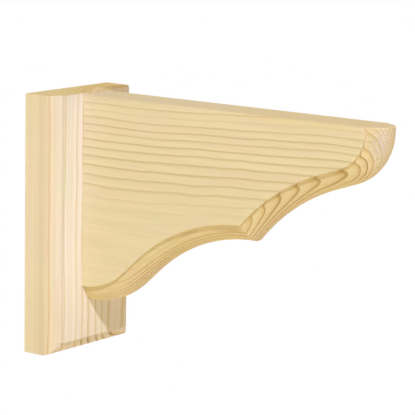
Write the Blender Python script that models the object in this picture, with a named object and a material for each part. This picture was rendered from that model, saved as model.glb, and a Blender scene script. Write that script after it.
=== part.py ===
"""Wooden shelf bracket: an upright back plate fixed to a wall, and a shaped arm standing out from its face.

Metres, +Z up. The wall is the plane Y = 0, the arm runs along -Y, and X goes across the width.
The origin is the middle of the back plate's rear face.
"""

import math

import bmesh
import bpy
from mathutils import Vector

# Back plate
PLATE_WIDTH = 0.0675
PLATE_HEIGHT = 0.140
PLATE_THICKNESS = 0.0212
PLATE_ROUND = 0.0067
PLATE_STEP = 0.0021

# Arm: reaches are measured from the wall, and depths down from the arm's flat top
ARM_THICKNESS = 0.0228
ARM_REACH = 0.2067
ARM_DROP = 0.0008
ARM_ROUND = 0.0090
ARM_STEP = 0.0021
POINT_REACH = 0.1288
POINT_DEPTH = 0.0664
NOSE_RADIUS = 0.0290
NOSE_FLAT = 0.0030
NOSE_STRAIGHT = 0.0127
NOSE_SLOPE = math.radians(19)
HEEL_DEPTH = 0.1126
HEEL_RADIUS = 0.0500
HEEL_STRAIGHT = 0.0120
HEEL_SLOPE = math.radians(42.4)

# Fits and limits
GLUE_LINE = 0.0003
LEAST_RIDGE = 0.0006

# Facets
ROUND_STEPS = 9
HEEL_STEPS = 14
HOLLOW_STEPS = 18
NOSE_STEPS = 12
SMOOTH_BELOW = math.radians(30)

# Bare pine: linear colour, roughness
PLATE_COLOUR = (0.83, 0.67, 0.42)
ARM_COLOUR = (0.79, 0.62, 0.36)
PINE_ROUGHNESS = 0.55


def clear_scene():
    for thing in list(bpy.data.objects):
        bpy.data.objects.remove(thing, do_unlink=True)


def pine(name, colour):
    material = bpy.data.materials.new(name)
    material.use_nodes = True
    shader = material.node_tree.nodes["Principled BSDF"]
    shader.inputs["Base Color"].default_value = (*colour, 1.0)
    shader.inputs["Roughness"].default_value = PINE_ROUGHNESS
    shader.inputs["Metallic"].default_value = 0.0
    return material


def moulded_edge(radius, step):
    """The stepped round along an edge: pairs of depth below the face and inset from the edge, face first."""
    section = [(0.0, radius)]
    for index in range(ROUND_STEPS + 1):
        angle = math.pi / 2 * index / ROUND_STEPS
        section.append((step + radius * (1 - math.cos(angle)), radius * (1 - math.sin(angle))))
    return section


def loft(name, rings, material, collection):
    """A closed solid through rings with the same number of points, its first and last ring filled."""
    build = bmesh.new()
    loops = [[build.verts.new(point) for point in ring] for ring in rings]
    for here, there in zip(loops, loops[1:]):
        for index in range(len(here)):
            after = (index + 1) % len(here)
            build.faces.new((here[index], here[after], there[after], there[index]))
    build.faces.new(loops[0])
    build.faces.new(loops[-1])
    bmesh.ops.recalc_face_normals(build, faces=build.faces)
    bmesh.ops.triangulate(build, faces=build.faces)
    mesh = bpy.data.meshes.new(name)
    build.to_mesh(mesh)
    build.free()
    mesh.shade_smooth()
    mesh.set_sharp_from_angle(angle=SMOOTH_BELOW)
    mesh.materials.append(material)
    thing = bpy.data.objects.new(name, mesh)
    collection.objects.link(thing)
    return thing


def plate_ring(depth, inset):
    """The plate's outline at a depth behind its front face. Its top edge is left square."""
    half = PLATE_WIDTH / 2 - inset
    low = -PLATE_HEIGHT / 2 + inset
    high = PLATE_HEIGHT / 2
    place = depth - PLATE_THICKNESS
    return [(-half, place, low), (half, place, low), (half, place, high), (-half, place, high)]


def make_plate(material, collection):
    rings = [plate_ring(depth, inset) for depth, inset in moulded_edge(PLATE_ROUND, PLATE_STEP)]
    rings.append(plate_ring(PLATE_THICKNESS, 0.0))
    return loft("back_plate", rings, material, collection)


def crossing(centre_a, radius_a, centre_b, radius_b, side):
    """Where two circles cross: side 1 is to the left of the way from a to b, and -1 to the right."""
    way = centre_b - centre_a
    along = (way.length_squared + radius_a**2 - radius_b**2) / (2 * way.length)
    across = math.sqrt(radius_a**2 - along**2)
    forward = way.normalized()
    return centre_a + forward * along + Vector((-forward.y, forward.x)) * across * side


def arc(centre, radius, start, end, steps):
    """Points on an arc, the shorter way from the direction of start to that of end, both included."""
    first = math.atan2(start.y - centre.y, start.x - centre.x)
    last = math.atan2(end.y - centre.y, end.x - centre.x)
    turn = (last - first + math.pi) % math.tau - math.pi
    angles = [first + turn * index / steps for index in range(steps + 1)]
    return [centre + Vector((math.cos(angle), math.sin(angle))) * radius for angle in angles]


def hollow(end, outward, point):
    """Centre and radius of the hollow that leaves a straight's end smoothly and passes through the point."""
    gap = end - point
    radius = -gap.length_squared / (2 * gap.dot(outward))
    return end + outward * radius, radius


def arm_outline(inset):
    """The arm's outline as (reach, depth) points, drawn in by an inset along its cut edge only.

    From the wall end of the top it runs out to the nose, round it and along a short straight, down the
    front hollow to the point, along the rear hollow and a short straight, and round the heel to the plate.
    """
    root = PLATE_THICKNESS + GLUE_LINE
    point = Vector((POINT_REACH, -POINT_DEPTH))

    nose = Vector((ARM_REACH - NOSE_RADIUS, -NOSE_FLAT))
    tip = nose + Vector((NOSE_RADIUS, 0))
    nose_outward = Vector((math.sin(NOSE_SLOPE), -math.cos(NOSE_SLOPE)))
    nose_end = nose + nose_outward * NOSE_RADIUS
    nose_way = Vector((nose_outward.y, -nose_outward.x))
    front, front_radius = hollow(nose_end + nose_way * NOSE_STRAIGHT, nose_outward, point)

    heel = Vector((root, HEEL_RADIUS - HEEL_DEPTH))
    foot = Vector((root, -HEEL_DEPTH))
    heel_outward = Vector((math.sin(HEEL_SLOPE), -math.cos(HEEL_SLOPE)))
    heel_end = heel + heel_outward * HEEL_RADIUS
    heel_way = Vector((-heel_outward.y, heel_outward.x))
    rear, rear_radius = hollow(heel_end + heel_way * HEEL_STRAIGHT, heel_outward, point)

    inner_point = crossing(front, front_radius + inset, rear, rear_radius + inset, -1)
    outline = [Vector((root, 0)), Vector((ARM_REACH - inset, 0))]
    outline += arc(nose, NOSE_RADIUS - inset, tip, nose_end, NOSE_STEPS)
    outline += arc(front, front_radius + inset, front - nose_outward, inner_point, HOLLOW_STEPS)
    outline += arc(rear, rear_radius + inset, inner_point, rear - heel_outward, HOLLOW_STEPS)[1:]
    outline += arc(heel, HEEL_RADIUS - inset, heel_end, foot, HEEL_STEPS)
    return outline


def arm_ring(across, inset):
    top = PLATE_HEIGHT / 2 - ARM_DROP
    return [(across, -point.x, top + point.y) for point in arm_outline(inset)]


def make_arm(material, collection):
    half = ARM_THICKNESS / 2
    radius = min(ARM_ROUND, half - ARM_STEP - LEAST_RIDGE / 2)
    edge = moulded_edge(radius, ARM_STEP)
    rings = [arm_ring(depth - half, inset) for depth, inset in edge]
    rings += [arm_ring(half - depth, inset) for depth, inset in reversed(edge)]
    return loft("arm", rings, material, collection)


def main():
    clear_scene()
    bracket = bpy.data.collections.new("shelf_bracket")
    bpy.context.scene.collection.children.link(bracket)
    make_plate(pine("plate_pine", PLATE_COLOUR), bracket)
    make_arm(pine("arm_pine", ARM_COLOUR), bracket)


main()
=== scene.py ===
"""Looks of a bare pine shelf bracket: a plate with moulded edges, and a shaped arm that stands out.

Metres, +Z up. The wall is the plane Y = 0, the arm runs along -Y, and X goes across the width.
"""

import math
from dataclasses import dataclass
from itertools import accumulate

import bmesh
import bpy
from mathutils import Matrix, Vector


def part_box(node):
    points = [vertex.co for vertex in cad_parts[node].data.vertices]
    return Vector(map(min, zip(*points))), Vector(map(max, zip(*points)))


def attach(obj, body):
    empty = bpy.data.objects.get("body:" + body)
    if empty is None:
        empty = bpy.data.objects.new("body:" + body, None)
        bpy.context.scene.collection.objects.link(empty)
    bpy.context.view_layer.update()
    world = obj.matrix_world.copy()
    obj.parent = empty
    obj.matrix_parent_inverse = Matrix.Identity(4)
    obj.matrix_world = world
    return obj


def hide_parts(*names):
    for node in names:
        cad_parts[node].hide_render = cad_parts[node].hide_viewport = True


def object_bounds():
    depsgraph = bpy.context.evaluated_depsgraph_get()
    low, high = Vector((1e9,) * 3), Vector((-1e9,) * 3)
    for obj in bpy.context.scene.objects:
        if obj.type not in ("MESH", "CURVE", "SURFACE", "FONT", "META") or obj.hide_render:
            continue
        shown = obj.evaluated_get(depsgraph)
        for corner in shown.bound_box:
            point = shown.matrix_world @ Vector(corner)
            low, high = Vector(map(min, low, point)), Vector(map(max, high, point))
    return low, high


X, Y, Z = range(3)
ACROSS = Vector((1, 0, 0))
OUT_FROM_WALL = Vector((0, -1, 0))
UP = Vector((0, 0, 1))

# Arm outline: reaches are measured from the wall, and depths down from the arm's top
POINT_REACH = 0.1288
POINT_DEPTH = 0.0664
NOSE_RADIUS = 0.0290
NOSE_FLAT = 0.0030
NOSE_STRAIGHT = 0.0127
NOSE_SLOPE = math.radians(19)
HEEL_RADIUS = 0.0500
HEEL_STRAIGHT = 0.0120
HEEL_SLOPE = math.radians(42.4)

# What shows of the glue line between the arm's end and the plate
GLUE_LINE = 0.00002

# Moulded edges: a step down from the face, then a quarter round
ARM_ROUND = 0.0090
ARM_STEP = 0.0021
PLATE_ROUND = 0.0067
PLATE_STEP = 0.0021
ROUND_FACETS = 14

# The cutter leaves a small hollow at the foot of each step
ARM_FOOT = 0.0011
PLATE_FOOT = 0.0007
FOOT_FACETS = 6

# Arrises are eased by sanding
ARRIS = 0.00022
ARRIS_ANGLE = math.radians(35)
ARRIS_FACETS = 2

# Length of a facet along an arc, how close counts as meeting, and which corners are shaded smooth
ARC_FACET = 0.0016
FEWEST_FACETS = 2
WELD = 0.0002
ON_PLANE = 0.000001
SMOOTH_BELOW = math.radians(20)

# A slanting way, along which the vertices of the arm have a plain order
SKEW = Vector((0.47, 0.71, 0.53))

# Camera, as the photograph sees the bracket
CAMERA_PLACE = Vector((-0.9218, -0.7780, 0.2216))
CAMERA_FORWARD = Vector((0.7912, 0.5856, -0.1764))
CAMERA_RIGHT = Vector((0.5975, -0.8016, 0.0189))
CAMERA_SEES_TO = 100
LENS = 195.0
SENSOR = 36.0

# Floor
FLOOR_DROP = 0.24
FLOOR_SIZE = 24.0
FLOOR_COLOUR = (0.95, 0.88, 0.68)
FLOOR_ROUGHNESS = 0.9
FLOOR_GLOSS = 0.1
FLOOR_GLOW = 0.11

# Studio light: each light shines along its way
KEY_WAY = Vector((0.475, 0.539, -0.696))
KEY_STRENGTH = 2.8
KEY_COLOUR = (0.74, 0.80, 1.0)
KEY_SPREAD = math.radians(3)
OVERHEAD_WAY = Vector((0, 0, -1))
OVERHEAD_STRENGTH = 0.41
OVERHEAD_COLOUR = (1.0, 0.71, 0.34)
OVERHEAD_SPREAD = math.radians(50)
SUN_DISTANCE = 1.0
FILL_WAY = Vector((0.30, 0.95, -0.02))
FILL_DISTANCE = 2.2
FILL_SIZE = 1.6
FILL_POWER = 9.15
FILL_COLOUR = (1.0, 0.95, 0.85)
ROOM_COLOUR = (1.0, 0.88, 0.66)
ROOM_STRENGTH = 0.375

# Sockets of a Mix node that mixes colours
MIX_AMOUNT = 0
MIX_FIRST = 6
MIX_SECOND = 7
MIX_RESULT = 2

# Noise runs from 0 to 1, and this is its middle
NOISE_MIDDLE = (0.5, 0.5, 0.5)

# Wood: colours are linear, and lengths are in millimetres where no other unit is named
MILLIMETRE = 0.001
NO_TINT = (1.0, 1.0, 1.0)
LATEWOOD = (0.54, 0.41, 0.15)
ORANGE_LATEWOOD = (0.63, 0.41, 0.19)
CUT_GOLD = (0.59, 0.40, 0.11)
CUT_LATEWOOD = (0.34, 0.20, 0.075)

# How dark a growth ring is, from its start to its hard latewood, cut along the grain and across it
RING_ALONG = (
    (0.0, 0.12),
    (0.07, 0.0),
    (0.5, 0.03),
    (0.7, 0.25),
    (0.83, 0.9),
    (0.92, 1.0),
    (1.0, 0.12),
)
RING_ACROSS = (
    (0.0, 0.0),
    (0.42, 0.05),
    (0.6, 0.35),
    (0.76, 0.6),
    (0.85, 1.0),
    (0.95, 1.0),
    (1.0, 0.0),
)

# Where in a ring its own strength holds, how far hues differ, and how much of a ring planed faces show
RING_STRENGTH_AT = 0.75
RING_HUES = 0.2
PLANED_RINGS = 0.72

# How squarely a surface faces along the grain, from 0 to 1, where a look starts and where it is full
CUT_ACROSS = (0.08, 0.4)
END_GRAIN = (0.12, 0.7)
END_FACE = (0.4, 0.9)
BROWN_CUT = (0.0, 0.4)

# How dark a ring is where its brown starts and where it is full, and the least of it on a flat cut
BROWN_RING = (0.55, 0.8)
BROWN_LEAST = 0.2

# How far below the planed faces a moulded edge is full and where it ends, in metres
EDGE_BELOW_FACE = (0.0005, 0.00015)
EDGE_SPECKS = 0.8

# Sanded surface: its least and most roughness, and how its latewood and fibres stand up
ROUGHNESS = (0.54, 0.64)
LATE_ROUGHNESS = -0.08
LATE_HEIGHT = 0.6
RELIEF_STRENGTH = 0.35
RELIEF_DEPTH = 0.00006


@dataclass
class Marks:
    """Noise drawn out along the grain: the size of its marks, and the tints its span goes between."""

    along: float
    across: float
    detail: float
    shift: float
    span: tuple = (0.0, 1.0)
    dull: tuple = NO_TINT
    bright: tuple = NO_TINT


LONG_STRAYS = Marks(55, 30, 1.0, 0.0)
SHORT_STRAYS = Marks(16, 14, 1.0, 7.3)
PATCHES = Marks(45, 12, 2.0, 3.1, (0.38, 0.62), (0.99, 1.01, 0.98), (1.01, 0.985, 1.02))
FIBRES = Marks(22, 0.55, 2.0, 11.0, (0.3, 0.7), (0.98, 0.98, 0.98), (1.017, 1.017, 1.017))
STREAKS = Marks(90, 1.7, 1.0, 17.0, (0.36, 0.64), (0.975, 0.975, 0.975), (1.02, 1.02, 1.02))
SPECKS = Marks(6, 0.6, 2.0, 23.0, (0.34, 0.6), (0.80, 0.735, 0.63), (1.05, 1.05, 1.055))
WEAR = Marks(60, 9, 2.0, 5.0, (0.3, 0.7))

# How far each kind of stray moves the rings, for a board's wander of one millimetre
STRAYS = ((LONG_STRAYS, 4.0), (SHORT_STRAYS, 1.1))


@dataclass
class Bend:
    """Where along the grain a bend starts and ends, and how far it moves the rings down Y and up Z."""

    start: float
    end: float
    aside: float
    up: float


@dataclass
class Spot:
    """A patch round a place on the bracket: where it is full, where it ends, its tint and its rings."""

    middle: tuple
    reach: tuple
    tint: tuple
    rings: float = 1.0


@dataclass
class Board:
    """How a board lies in its log, whose pith is the X axis, and what its wood is like."""

    # The turn from the bracket's axes to the log's, the bracket's origin in the log, and the grain's way
    turned: tuple
    origin: tuple
    grain: tuple
    # Rise of the grain along its length
    slope: float
    # Radius where the rings start, and from there outwards their widths and how dark each one is
    first_ring: float
    ring_widths: tuple
    ring_strengths: tuple
    wander: float
    # Colours of the wood by its distance from the pith, and those on the end face
    zones: tuple
    end_zones: tuple
    # Tints of the wood and depths of its rings, by how squarely a surface faces the grain's way; on the
    # arm's moulded edge the tints are partly painted warm bounce light
    cut_and_bounce_tints: tuple
    cut_depths: tuple
    spots: tuple
    # Spots that show on the moulded edge alone
    edge_spots: tuple = ()
    bends: tuple = ()
    # Radii between which the latewood turns orange
    orange_between: tuple = ()


ARM_BOARD = Board(
    turned=(0, 0, math.pi / 2),
    origin=(0, 154.3, 12.8),
    grain=(0, 1, 0),
    slope=0.0116,
    bends=(Bend(45, 185, 0.0, 4.1), Bend(100, 21, 0.65, 2.1)),
    first_ring=142.45,
    ring_widths=(
        *(0.7, 0.6, 0.6, 0.8, 0.9, 1.2, 1.2, 1.4, 1.55, 1.5, 1.45, 1.6, 1.5, 1.7),
        *(1.7, 1.7, 1.9, 1.5, 1.9, 1.7, 1.9, 1.6, 2.0, 1.9, 1.8, 2.1, 1.9, 2.0),
    ),
    ring_strengths=(
        *(0.06, 0.08, 0.1, 0.12, 0.3, 0.75, 0.8, 0.95, 0.9, 0.85, 1.0, 0.75, 0.9, 0.8),
        *(0.25, 0.7, 0.4, 0.6, 0.5, 0.7, 0.6, 0.7, 0.6, 0.7, 0.6, 0.7, 0.6, 0.7),
    ),
    wander=0.28,
    zones=((145.0, (0.76, 0.645, 0.39)), (153.0, (0.785, 0.67, 0.41)), (162.0, (0.79, 0.665, 0.415))),
    end_zones=((140.0, (0.70, 0.55, 0.33)), (170.0, (0.70, 0.55, 0.33))),
    # Where the moulded edge runs along the grain it turns golden: partly the colour of wood cut across,
    # partly painted warm bounce light on the underside and in the shade under its steps
    cut_and_bounce_tints=(
        (-1.0, (0.79, 0.80, 0.93)),
        (-0.8, (0.84, 0.85, 0.96)),
        (-0.5, (0.91, 0.86, 0.79)),
        (0.0, (0.97, 0.93, 0.80)),
    ),
    cut_depths=((-1.0, 1.4), (-0.5, 1.1), (0.0, 0.95)),
    spots=(
        Spot((-8, -30, -42), (14, 32), NO_TINT, rings=0.15),
        # Painted light: a cooler tint on the arm next to the plate, which takes out the warm light that the
        # plate throws back onto it
        Spot((-11, 80, 40), (102, 118), (0.975, 1.0, 1.12)),
        Spot((0, -160, 369), (301.5, 305), (1.01, 0.98, 0.90)),
    ),
    edge_spots=(Spot((-26, -220, 58), (25.0, 28.5), (0.91, 0.95, 1.26)),),
)

PLATE_BOARD = Board(
    turned=(0, math.pi / 2, 0),
    origin=(0, 60, 30),
    grain=(0, 0, 1),
    slope=0.0,
    first_ring=37.0,
    ring_widths=(2.6, 4.1, 2.7, 2.9, 4.2, 3.7, 3.9, 3.3, 1.6, 3.0, 5.6, 2.6, 4.3, 5.0, 4.0),
    ring_strengths=(0.7, 0.9, 0.8, 0.9, 1.0, 0.85, 0.7, 0.3, 0.55, 0.65, 0.1, 1.0, 0.1, 0.1, 0.1),
    wander=0.7,
    zones=(
        (60.0, (0.77, 0.69, 0.585)),
        (67.0, (0.765, 0.69, 0.59)),
        (69.0, (0.71, 0.615, 0.465)),
        (71.5, (0.72, 0.628, 0.47)),
        (73.5, (0.695, 0.605, 0.44)),
        (77.5, (0.70, 0.575, 0.365)),
        (79.5, (0.735, 0.61, 0.39)),
        (84.0, (0.80, 0.68, 0.435)),
    ),
    end_zones=(
        (52.5, (0.88, 0.70, 0.37)),
        (54.5, (0.80, 0.57, 0.22)),
        (58.0, (0.80, 0.63, 0.28)),
        (75.0, (0.82, 0.68, 0.35)),
    ),
    cut_and_bounce_tints=((-1.0, (1.03, 1.02, 1.01)), (0.0, NO_TINT)),
    cut_depths=((-1.0, 1.5), (-0.5, 1.3), (-0.2, 0.95), (0.0, 0.82), (1.0, 0.3)),
    orange_between=(70, 74),
    spots=(
        # Painted shade: a dark patch on the plate's front to the right of the arm's top
        Spot((23, -21, 69), (7, 15), (0.68, 0.60, 0.46)),
        Spot((10, -21, -72), (18, 62), (0.93, 0.885, 0.81)),
        # Painted shade: darker and more orange along the plate's top front edge, where the arm's top meets
        # the plate
        Spot((3, -61, 70), (40.4, 42.5), (0.94, 0.85, 0.66)),
    ),
)


@dataclass
class Cut:
    """How a surface cuts its board: outputs of nodes for how it meets the grain and how it looks."""

    steepness: bpy.types.NodeSocket
    across: bpy.types.NodeSocket
    end_grain: bpy.types.NodeSocket
    tint: bpy.types.NodeSocket
    ring_depth: bpy.types.NodeSocket


def finished(build, name, material):
    """A piece from a finished bmesh, smooth over its rounds and crisp at its arrises."""
    bmesh.ops.recalc_face_normals(build, faces=build.faces)
    mesh = bpy.data.meshes.new(name)
    build.to_mesh(mesh)
    build.free()
    mesh.shade_smooth()
    mesh.set_sharp_from_angle(angle=SMOOTH_BELOW)
    mesh.materials.append(material)
    piece = bpy.data.objects.new(name, mesh)
    bpy.context.scene.collection.objects.link(piece)
    return piece


def lies_at(edge, axis, place):
    """Whether an edge lies in the plane at a place along an axis."""
    return all(abs(vert.co[axis] - place) < ON_PLANE for vert in edge.verts)


def round_off(build, edges, size, facets, clamp=True):
    """Rounds outer edges over, or fills inner ones with a round."""
    bmesh.ops.bevel(
        build,
        geom=edges,
        offset=size,
        segments=facets,
        profile=0.5,
        affect="EDGES",
        material=-1,
        clamp_overlap=clamp,
    )


def ease_arrises(build, back):
    """Takes the sharpness off the outside corners, apart from those in the plane of the back."""
    build.normal_update()
    sharp = [
        edge
        for edge in build.edges
        if edge.is_convex and edge.calc_face_angle(0) > ARRIS_ANGLE and not lies_at(edge, Y, back)
    ]
    round_off(build, sharp, ARRIS, ARRIS_FACETS)


def extend(build, chain, step):
    """Carries a chain of vertices and edges on in a straight line, and returns its new end."""
    edges = [part for part in chain if isinstance(part, bmesh.types.BMEdge)]
    if edges:
        end = bmesh.ops.extrude_edge_only(build, edges=edges)["geom"]
    else:
        end = bmesh.ops.extrude_vert_indiv(build, verts=chain)["verts"]
    verts = [part for part in end if isinstance(part, bmesh.types.BMVert)]
    bmesh.ops.translate(build, verts=verts, vec=step)
    new = set(verts)
    return verts + [edge for edge in build.edges if set(edge.verts) <= new]


def turn(build, chain, centre, axis, angle, steps):
    """Carries a chain of vertices and edges on round a centre, and returns its new end."""
    return bmesh.ops.spin(
        build,
        geom=chain,
        cent=centre,
        axis=axis,
        dvec=(0, 0, 0),
        angle=angle,
        steps=steps,
        use_merge=False,
        use_normal_flip=False,
        use_duplicate=False,
    )["geom_last"]


def moulding(build, ridge, inward, thickness):
    """The section of the arm's moulded edge, drawn across the arm with its ridge at a point."""
    half = thickness / 2
    flat = half - ARM_STEP - ARM_ROUND
    # The round ends where the cutter's small hollow meets it, a little before its quarter.
    lean = math.asin(ARM_FOOT / (ARM_ROUND + ARM_FOOT))
    aside = (ARM_ROUND + ARM_FOOT) * math.cos(lean)
    ledge = half - flat - aside
    sweep = math.pi / 2 - lean
    axis = ACROSS.cross(inward)
    centre = ridge + inward * ARM_ROUND
    foot = centre - inward * ARM_FOOT
    start = build.verts.new(centre - ACROSS * half)
    end = extend(build, [start], ACROSS * ledge)
    end = turn(build, end, foot - ACROSS * (flat + aside), axis, -sweep, FOOT_FACETS)
    end = turn(build, end, centre - ACROSS * flat, axis, sweep, ROUND_FACETS)
    end = extend(build, end, ACROSS * 2 * flat)
    end = turn(build, end, centre + ACROSS * flat, axis, sweep, ROUND_FACETS)
    end = turn(build, end, foot + ACROSS * (flat + aside), axis, -sweep, FOOT_FACETS)
    extend(build, end, ACROSS * ledge)
    return list(build.verts) + list(build.edges)


def slanted(slope):
    """The way along a slope that rises from the wall, and the way out of the wood under it."""
    along = OUT_FROM_WALL * math.cos(slope) + UP * math.sin(slope)
    outward = OUT_FROM_WALL * math.sin(slope) - UP * math.cos(slope)
    return along, outward


def hollow(end, outward, point):
    """Centre of the hollow that leaves a straight's end smoothly and passes through the point."""
    gap = end - point
    return end - outward * gap.length_squared / (2 * gap.dot(outward))


def swing(centre, start, end):
    """The angle about the X axis that carries a start point round a centre to an end point."""
    first = start - centre
    last = end - centre
    return math.atan2(first.cross(last).x, first.dot(last))


def follow(build, chain, centre, start, end, over=0.0):
    """Runs a moulding section along an arc, and on past its end by a length."""
    radius = (start - centre).length
    angle = swing(centre, start, end)
    angle += math.copysign(over / radius, angle)
    steps = max(FEWEST_FACETS, round(abs(angle) * radius / ARC_FACET))
    return turn(build, chain, centre, ACROSS, angle, steps)


def join_at_mitre(runs, point, mitre):
    """One mesh of the runs of moulding, each cut off at the mitre on the side of a place beyond it."""
    build = bmesh.new()
    for run, beyond in runs:
        away = math.copysign(1, mitre.dot(beyond - point))
        whole = list(run.verts) + list(run.edges) + list(run.faces)
        bmesh.ops.bisect_plane(run, geom=whole, plane_co=point, plane_no=mitre * away, clear_outer=True)
        part = bpy.data.meshes.new("run")
        run.to_mesh(part)
        run.free()
        build.from_mesh(part)
        bpy.data.meshes.remove(part)
    # A fixed order makes the weld, and so the mesh, the same each time.
    build.verts.sort(key=lambda vert: vert.co.dot(SKEW))
    bmesh.ops.remove_doubles(build, verts=build.verts, dist=WELD)
    return build


def fill(build, axis, place):
    """Closes the one open loop of edges in the plane at a place along an axis."""
    loop = [edge for edge in build.edges if len(edge.link_faces) < 2 and lies_at(edge, axis, place)]
    bmesh.ops.contextual_create(build, geom=loop)


def make_arm(material):
    """The arm: its moulded edge follows the outline, and planes close its sides, its top and its end."""
    low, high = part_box("arm")
    plate_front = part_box("back_plate")[0].y
    thickness = high.x - low.x
    root = GLUE_LINE - plate_front
    reach = -low.y
    top = high.z
    heel_depth = top - low.z

    def at(out, down):
        return OUT_FROM_WALL * out + UP * (top - down)

    point = at(POINT_REACH, POINT_DEPTH)

    tip = at(reach, NOSE_FLAT)
    nose = tip - OUT_FROM_WALL * NOSE_RADIUS
    nose_along, nose_outward = slanted(NOSE_SLOPE)
    nose_end = nose + nose_outward * NOSE_RADIUS
    front_start = nose_end - nose_along * NOSE_STRAIGHT
    front = hollow(front_start, nose_outward, point)

    foot = at(root, heel_depth)
    heel = foot + UP * HEEL_RADIUS
    heel_along, heel_outward = slanted(HEEL_SLOPE)
    heel_end = heel + heel_outward * HEEL_RADIUS
    rear_start = heel_end + heel_along * HEEL_STRAIGHT
    rear = hollow(rear_start, heel_outward, point)

    # Both runs go on past the point by this, so that the mitre cuts them whole.
    over = ARM_ROUND

    front_run = bmesh.new()
    chain = moulding(front_run, at(reach, 0), -OUT_FROM_WALL, thickness)
    chain = extend(front_run, chain, -UP * NOSE_FLAT)
    chain = follow(front_run, chain, nose, tip, nose_end)
    chain = extend(front_run, chain, -nose_along * NOSE_STRAIGHT)
    follow(front_run, chain, front, front_start, point, over)

    rear_run = bmesh.new()
    chain = moulding(rear_run, foot, UP, thickness)
    chain = follow(rear_run, chain, heel, foot, heel_end)
    chain = extend(rear_run, chain, heel_along * HEEL_STRAIGHT)
    follow(rear_run, chain, rear, rear_start, point, over)

    into_wood = ((point - front).normalized() + (point - rear).normalized()).normalized()
    build = join_at_mitre(((front_run, foot), (rear_run, tip)), point, ACROSS.cross(into_wood))

    # The long edges of the top and the corners at the plate close the outline.
    corners = []
    for side in (-ACROSS, ACROSS):
        aside = side * thickness / 2
        corner = build.verts.new(at(root, 0) + aside)
        for place in (at(reach - ARM_ROUND, 0), at(root, heel_depth - ARM_ROUND)):
            near = min(build.verts, key=lambda vert: (vert.co - place - aside).length)
            build.edges.new((corner, near))
        corners.append(corner)
    build.edges.new(corners)
    for axis, place in ((X, low.x), (X, high.x), (Z, top), (Y, -root)):
        fill(build, axis, place)
    bmesh.ops.recalc_face_normals(build, faces=build.faces)
    ease_arrises(build, -root)
    arm = finished(build, "pine_arm", material)
    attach(arm, "root")
    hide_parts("arm")


def make_plate(material):
    """The plate: a board with a stepped round on its front edges, apart from the top one."""
    low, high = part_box("back_plate")
    size = high - low
    build = bmesh.new()
    bmesh.ops.create_cube(build, size=1.0)
    bmesh.ops.scale(build, vec=(size.x, size.y - PLATE_STEP, size.z), verts=build.verts)
    bmesh.ops.translate(build, vec=(low + high) / 2 + Vector((0, PLATE_STEP / 2, 0)), verts=build.verts)
    step_foot = low.y + PLATE_STEP
    moulded_edges = [
        edge for edge in build.edges if lies_at(edge, Y, step_foot) and not lies_at(edge, Z, high.z)
    ]
    round_off(build, moulded_edges, PLATE_ROUND, ROUND_FACETS, clamp=False)
    front = min(build.faces, key=lambda face: face.calc_center_median().y)
    raised = bmesh.ops.extrude_discrete_faces(build, faces=[front])["faces"][0]
    bmesh.ops.translate(build, vec=(0, -PLATE_STEP, 0), verts=raised.verts)
    build.normal_update()
    inner = [edge for edge in build.edges if not edge.is_convex and edge.calc_face_angle(0) > ARRIS_ANGLE]
    round_off(build, inner, PLATE_FOOT, FOOT_FACETS)
    ease_arrises(build, high.y)
    plate = finished(build, "pine_back_plate", material)
    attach(plate, "root")
    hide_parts("back_plate")


def node(tree, kind, inputs, **settings):
    """A shader node with its settings, and its inputs set to values or linked to outputs."""
    new = tree.nodes.new(kind)
    for name, value in settings.items():
        setattr(new, name, value)
    for key, value in inputs.items():
        if isinstance(value, bpy.types.NodeSocket):
            tree.links.new(value, new.inputs[key])
        else:
            new.inputs[key].default_value = value
    return new


def maths(tree, operation, *values):
    """The result of a sum with numbers or outputs of nodes."""
    return node(tree, "ShaderNodeMath", dict(enumerate(values)), operation=operation).outputs[0]


def vector_maths(tree, operation, *values):
    """The node of a sum with vectors or outputs of nodes."""
    return node(tree, "ShaderNodeVectorMath", dict(enumerate(values)), operation=operation)


def spread(tree, value, low, high, to_low=0.0, to_high=1.0):
    """Maps a value from one range to another, held at its ends."""
    inputs = {"Value": value, "From Min": low, "From Max": high, "To Min": to_low, "To Max": to_high}
    return node(tree, "ShaderNodeMapRange", inputs, clamp=True).outputs["Result"]


def opaque(colour):
    """A colour with its alpha, or the output of a node as it is."""
    return colour if isinstance(colour, bpy.types.NodeSocket) else (*colour, 1)


def blend(tree, amount, first, second, how="MIX"):
    """Mixes two colours by an amount."""
    inputs = {MIX_AMOUNT: amount, MIX_FIRST: opaque(first), MIX_SECOND: opaque(second)}
    mix = node(tree, "ShaderNodeMix", inputs, data_type="RGBA", blend_type=how, clamp_factor=True)
    return mix.outputs[MIX_RESULT]


def tinted(tree, colour, tint):
    """A colour multiplied by a tint."""
    return blend(tree, 1.0, colour, tint, "MULTIPLY")


def curve(tree, value, points):
    """A value read from a curve of straight stretches, both from 0 to 1."""
    made = node(tree, "ShaderNodeFloatCurve", {"Value": value})
    line = made.mapping.curves[0]
    while len(line.points) < len(points):
        line.points.new(0.5, 0.5)
    for point, place in zip(line.points, points):
        point.location = place
        point.handle_type = "VECTOR"
    made.mapping.update()
    return made.outputs[0]


def shade_by(tree, value, stops):
    """A colour read from a value, between stops that pair a value with a colour."""
    low = stops[0][0]
    high = stops[-1][0]
    shown = node(tree, "ShaderNodeValToRGB", {"Fac": spread(tree, value, low, high)})
    ramp = shown.color_ramp
    while len(ramp.elements) < len(stops):
        ramp.elements.new(0.5)
    for element, (at, colour) in zip(ramp.elements, stops):
        element.position = (at - low) / (high - low)
        element.color = (*colour, 1)
    return shown.outputs["Color"]


def greys(stops):
    """Stops with greys as their colours, from stops that pair a value with a shade."""
    return [(at, (shade, shade, shade)) for at, shade in stops]


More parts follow.
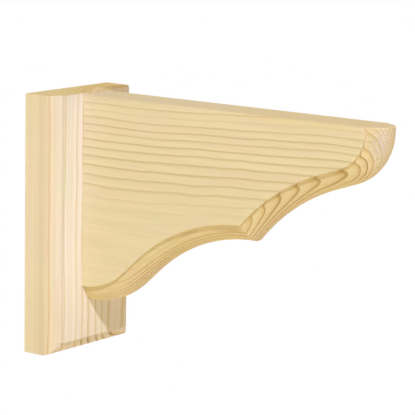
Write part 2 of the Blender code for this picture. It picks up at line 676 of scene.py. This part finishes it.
def figure(tree, place, marks):
    """The noise of some marks at a place in the log."""
    mapping = {
        "Vector": place,
        "Scale": (1 / marks.along, 1 / marks.across, 1 / marks.across),
        "Location": (marks.shift,) * 3,
    }
    mapped = node(tree, "ShaderNodeMapping", mapping).outputs["Vector"]
    return node(tree, "ShaderNodeTexNoise", {"Vector": mapped, "Scale": 1.0, "Detail": marks.detail})


def marked(tree, body, place, marks):
    """Wood tinted by its marks."""
    amount = spread(tree, figure(tree, place, marks).outputs[0], *marks.span)
    return tinted(tree, body, blend(tree, amount, marks.dull, marks.bright))


def ring_radius(tree, place, board):
    """Distance from the pith, with the grain's wander, its slope and its bends."""
    stray = place
    for marks, share in STRAYS:
        noise = figure(tree, place, marks).outputs["Color"]
        centred = vector_maths(tree, "SUBTRACT", noise, NOISE_MIDDLE).outputs[0]
        amount = board.wander * share
        stray = vector_maths(tree, "MULTIPLY_ADD", centred, (0, amount, amount), stray).outputs[0]
    along, aside, above = node(tree, "ShaderNodeSeparateXYZ", {0: stray}).outputs
    level = maths(tree, "MULTIPLY_ADD", along, -board.slope, above)
    for bend in board.bends:
        inputs = {"Value": along, "From Min": bend.start, "From Max": bend.end}
        bent = node(tree, "ShaderNodeMapRange", inputs, interpolation_type="SMOOTHSTEP").outputs["Result"]
        aside = maths(tree, "MULTIPLY_ADD", bent, bend.aside, aside)
        level = maths(tree, "MULTIPLY_ADD", bent, -bend.up, level)
    across = node(tree, "ShaderNodeCombineXYZ", {"Y": aside, "Z": level}).outputs[0]
    return vector_maths(tree, "LENGTH", across).outputs["Value"]


def growth_rings(tree, radius, cut_across, board):
    """How dark the latewood is, and the number of the ring."""
    edges = [board.first_ring, *(board.first_ring + width for width in accumulate(board.ring_widths))]
    inner = edges[0]
    outer = edges[-1]
    count = len(board.ring_widths)
    places = [((edge - inner) / (outer - inner), number / count) for number, edge in enumerate(edges)]
    reached = curve(tree, spread(tree, radius, inner, outer), places)
    number = maths(tree, "MULTIPLY", reached, float(count))
    part = maths(tree, "FRACT", number)
    along = shade_by(tree, part, greys(RING_ALONG))
    across = shade_by(tree, part, greys(RING_ACROSS))
    strengths = [
        ((index + RING_STRENGTH_AT) / count, strength) for index, strength in enumerate(board.ring_strengths)
    ]
    late = maths(tree, "MULTIPLY", blend(tree, cut_across, along, across), curve(tree, reached, strengths))
    return late, number


def moulded(tree, here, corner):
    """1 on a moulded edge, and 0 on the planed side and top that meet at a corner."""
    across, _, height = node(tree, "ShaderNodeSeparateXYZ", {0: here}).outputs
    from_side, from_top = [
        spread(tree, value, *(face - below for below in EDGE_BELOW_FACE), 1.0, 0.0)
        for value, face in ((maths(tree, "ABSOLUTE", across), corner.x), (height, corner.z))
    ]
    return maths(tree, "MULTIPLY", from_side, from_top)


def within(tree, here, spot):
    """How much of a spot shows at a place on the bracket."""
    middle = tuple(size * MILLIMETRE for size in spot.middle)
    away = vector_maths(tree, "DISTANCE", here, middle).outputs["Value"]
    return spread(tree, away, *(size * MILLIMETRE for size in spot.reach), 1.0, 0.0)


def read_cut(tree, here, towards, board, corner):
    """How a surface cuts the board. A moulded edge counts as cut across all the way round."""
    steepness = maths(tree, "ABSOLUTE", towards)
    across = spread(tree, steepness, *CUT_ACROSS)
    end_grain = spread(tree, steepness, *END_GRAIN)
    # The tint by the cut, which on the arm's moulded edge is partly painted warm bounce light
    tint = shade_by(tree, towards, board.cut_and_bounce_tints)
    ring_depth = shade_by(tree, towards, greys(board.cut_depths))
    if corner is not None:
        edge = moulded(tree, here, corner)
        for spot in board.edge_spots:
            amount = within(tree, here, spot)
            tint = tinted(tree, tint, blend(tree, amount, NO_TINT, spot.tint))
            specks = maths(tree, "MULTIPLY", maths(tree, "MULTIPLY", amount, edge), EDGE_SPECKS)
            end_grain = maths(tree, "MAXIMUM", end_grain, specks)
        across = maths(tree, "MAXIMUM", across, edge)
        tint = blend(tree, edge, NO_TINT, tint)
        planed = spread(tree, edge, 0.0, 1.0, PLANED_RINGS, 1.0)
        ring_depth = maths(tree, "MULTIPLY", ring_depth, planed)
    return Cut(steepness, across, end_grain, tint, ring_depth)


def body_colour(tree, place, radius, towards, cut, board):
    """The colour of the wood between its dark rings."""
    body = shade_by(tree, radius, board.zones)
    end_body = shade_by(tree, radius, board.end_zones)
    body = blend(tree, spread(tree, towards, *END_FACE), body, end_body)
    for marks in (PATCHES, FIBRES, STREAKS):
        body = marked(tree, body, place, marks)
    body = blend(tree, cut.end_grain, body, marked(tree, body, place, SPECKS))
    # The cut's tint, partly painted warm bounce light on the arm's moulded edge
    return tinted(tree, body, cut.tint)


def latewood_colour(tree, radius, late, number, cut, board):
    """The colour of the dark rings, which differ in hue and turn brown where they are cut across."""
    ring = {"W": maths(tree, "FLOOR", number)}
    chance = node(tree, "ShaderNodeTexWhiteNoise", ring, noise_dimensions="1D").outputs[0]
    warmth = maths(tree, "MULTIPLY", chance, RING_HUES)
    if board.orange_between:
        warmth = maths(tree, "MAXIMUM", warmth, spread(tree, radius, *board.orange_between))
    along = blend(tree, warmth, LATEWOOD, ORANGE_LATEWOOD)
    browned = spread(tree, cut.steepness, *BROWN_CUT, BROWN_LEAST, 1.0)
    brown = maths(tree, "MULTIPLY", spread(tree, late, *BROWN_RING), browned)
    across = blend(tree, brown, CUT_GOLD, CUT_LATEWOOD)
    return blend(tree, cut.across, along, across)


def sanded_roughness(tree, place, late):
    """Roughness of the sanded wood, a little less on its hard latewood."""
    wear = spread(tree, figure(tree, place, WEAR).outputs[0], *WEAR.span, *ROUGHNESS)
    return maths(tree, "MULTIPLY_ADD", late, LATE_ROUGHNESS, wear)


def sanded_relief(tree, place, late):
    """Normals of the sanded wood, whose latewood and fibres stand up a little."""
    height = maths(tree, "MULTIPLY_ADD", late, LATE_HEIGHT, figure(tree, place, FIBRES).outputs[0])
    inputs = {"Height": height, "Strength": RELIEF_STRENGTH, "Distance": RELIEF_DEPTH}
    return node(tree, "ShaderNodeBump", inputs).outputs["Normal"]


def pine(name, board, corner=None):
    """Bare sanded pine, with its growth rings cut as the board lies in its log.

    Where the board's edge is moulded, the corner is one that its planed side and top share.
    """
    material = bpy.data.materials.new(name)
    material.use_nodes = True
    tree = material.node_tree
    shader = tree.nodes["Principled BSDF"]
    coordinates = node(tree, "ShaderNodeTexCoord", {})
    here = coordinates.outputs["Object"]
    to_log = {
        "Vector": here,
        "Location": board.origin,
        "Rotation": board.turned,
        "Scale": (1 / MILLIMETRE,) * 3,
    }
    place = node(tree, "ShaderNodeMapping", to_log).outputs["Vector"]
    radius = ring_radius(tree, place, board)
    towards = vector_maths(tree, "DOT_PRODUCT", coordinates.outputs["Normal"], board.grain).outputs["Value"]
    cut = read_cut(tree, here, towards, board, corner)
    late, number = growth_rings(tree, radius, cut.across, board)

    body = body_colour(tree, place, radius, towards, cut, board)
    depth = maths(tree, "MULTIPLY", late, cut.ring_depth)
    # Spots tint the wood and fade its rings; some of them are painted shade or painted light
    for spot in board.spots:
        amount = within(tree, here, spot)
        body = tinted(tree, body, blend(tree, amount, NO_TINT, spot.tint))
        depth = maths(tree, "MULTIPLY", depth, spread(tree, amount, 0.0, 1.0, 1.0, spot.rings))
    colour = blend(tree, depth, body, latewood_colour(tree, radius, late, number, cut, board))

    tree.links.new(colour, shader.inputs["Base Color"])
    tree.links.new(sanded_roughness(tree, place, late), shader.inputs["Roughness"])
    tree.links.new(sanded_relief(tree, place, late), shader.inputs["Normal"])
    return material


def floor_paint():
    """Paint that is plain white to the camera, and softer in the light that it throws back."""
    material = bpy.data.materials.new("floor_white")
    material.use_nodes = True
    tree = material.node_tree
    shader = tree.nodes["Principled BSDF"]
    shader.inputs["Base Color"].default_value = opaque(FLOOR_COLOUR)
    shader.inputs["Roughness"].default_value = FLOOR_ROUGHNESS
    shader.inputs["Specular IOR Level"].default_value = FLOOR_GLOSS
    shader.inputs["Emission Color"].default_value = opaque(FLOOR_COLOUR)
    shader.inputs["Emission Strength"].default_value = FLOOR_GLOW
    seen = node(tree, "ShaderNodeLightPath", {}).outputs["Is Camera Ray"]
    white = node(tree, "ShaderNodeEmission", {"Color": (1, 1, 1, 1), "Strength": 1.0}).outputs[0]
    mixed = node(tree, "ShaderNodeMixShader", {0: seen, 1: shader.outputs[0], 2: white}).outputs[0]
    tree.links.new(mixed, tree.nodes["Material Output"].inputs["Surface"])
    return material


def make_floor(bracket_low):
    """A wide floor, some way below the bracket's lowest corner."""
    build = bmesh.new()
    bmesh.ops.create_grid(build, x_segments=1, y_segments=1, size=FLOOR_SIZE / 2)
    bmesh.ops.translate(build, vec=(0, 0, bracket_low.z - FLOOR_DROP), verts=build.verts)
    floor = finished(build, "floor", floor_paint())


def set_camera():
    """A camera where the photograph was taken from."""
    camera = bpy.data.cameras.new("camera")
    camera.lens = LENS
    camera.sensor_width = SENSOR
    camera.clip_end = CAMERA_SEES_TO
    holder = bpy.data.objects.new("camera", camera)
    right = CAMERA_RIGHT.normalized()
    above = right.cross(CAMERA_FORWARD.normalized())
    turned = Matrix((right, above, right.cross(above))).transposed()
    holder.matrix_world = Matrix.Translation(CAMERA_PLACE) @ turned.to_4x4()
    bpy.context.scene.collection.objects.link(holder)
    bpy.context.scene.camera = holder


def hang_light(name, kind, way, distance, power, colour):
    """A light that shines along a way, set back from the bracket by a distance."""
    lamp = bpy.data.lights.new(name, kind)
    lamp.energy = power
    lamp.color = colour
    holder = bpy.data.objects.new(name, lamp)
    holder.rotation_euler = way.to_track_quat("-Z", "Y").to_euler()
    holder.location = -way.normalized() * distance
    bpy.context.scene.collection.objects.link(holder)
    return lamp


def light_stage():
    """Soft studio light: a cool key, a warm light overhead, a wide fill in front and a warm room."""
    room = bpy.data.worlds.new("studio")
    room.use_nodes = True
    background = room.node_tree.nodes["Background"]
    background.inputs["Color"].default_value = opaque(ROOM_COLOUR)
    background.inputs["Strength"].default_value = ROOM_STRENGTH
    bpy.context.scene.world = room
    key = hang_light("key", "SUN", KEY_WAY, SUN_DISTANCE, KEY_STRENGTH, KEY_COLOUR)
    key.angle = KEY_SPREAD
    overhead = hang_light("overhead", "SUN", OVERHEAD_WAY, SUN_DISTANCE, OVERHEAD_STRENGTH, OVERHEAD_COLOUR)
    overhead.angle = OVERHEAD_SPREAD
    front = hang_light("fill", "AREA", FILL_WAY, FILL_DISTANCE, FILL_POWER, FILL_COLOUR)
    front.size = FILL_SIZE
    bpy.context.scene.view_settings.view_transform = "Standard"


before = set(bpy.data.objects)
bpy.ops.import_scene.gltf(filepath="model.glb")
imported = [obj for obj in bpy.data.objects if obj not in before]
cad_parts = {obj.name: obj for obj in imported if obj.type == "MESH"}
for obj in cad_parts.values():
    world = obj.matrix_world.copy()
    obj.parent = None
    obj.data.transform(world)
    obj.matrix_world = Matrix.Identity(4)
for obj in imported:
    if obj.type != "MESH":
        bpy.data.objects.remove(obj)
cad_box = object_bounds()

make_plate(pine("bare_plate_pine", PLATE_BOARD))
make_arm(pine("bare_arm_pine", ARM_BOARD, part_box("arm")[1]))
make_floor(cad_box[0])
set_camera()
light_stage()
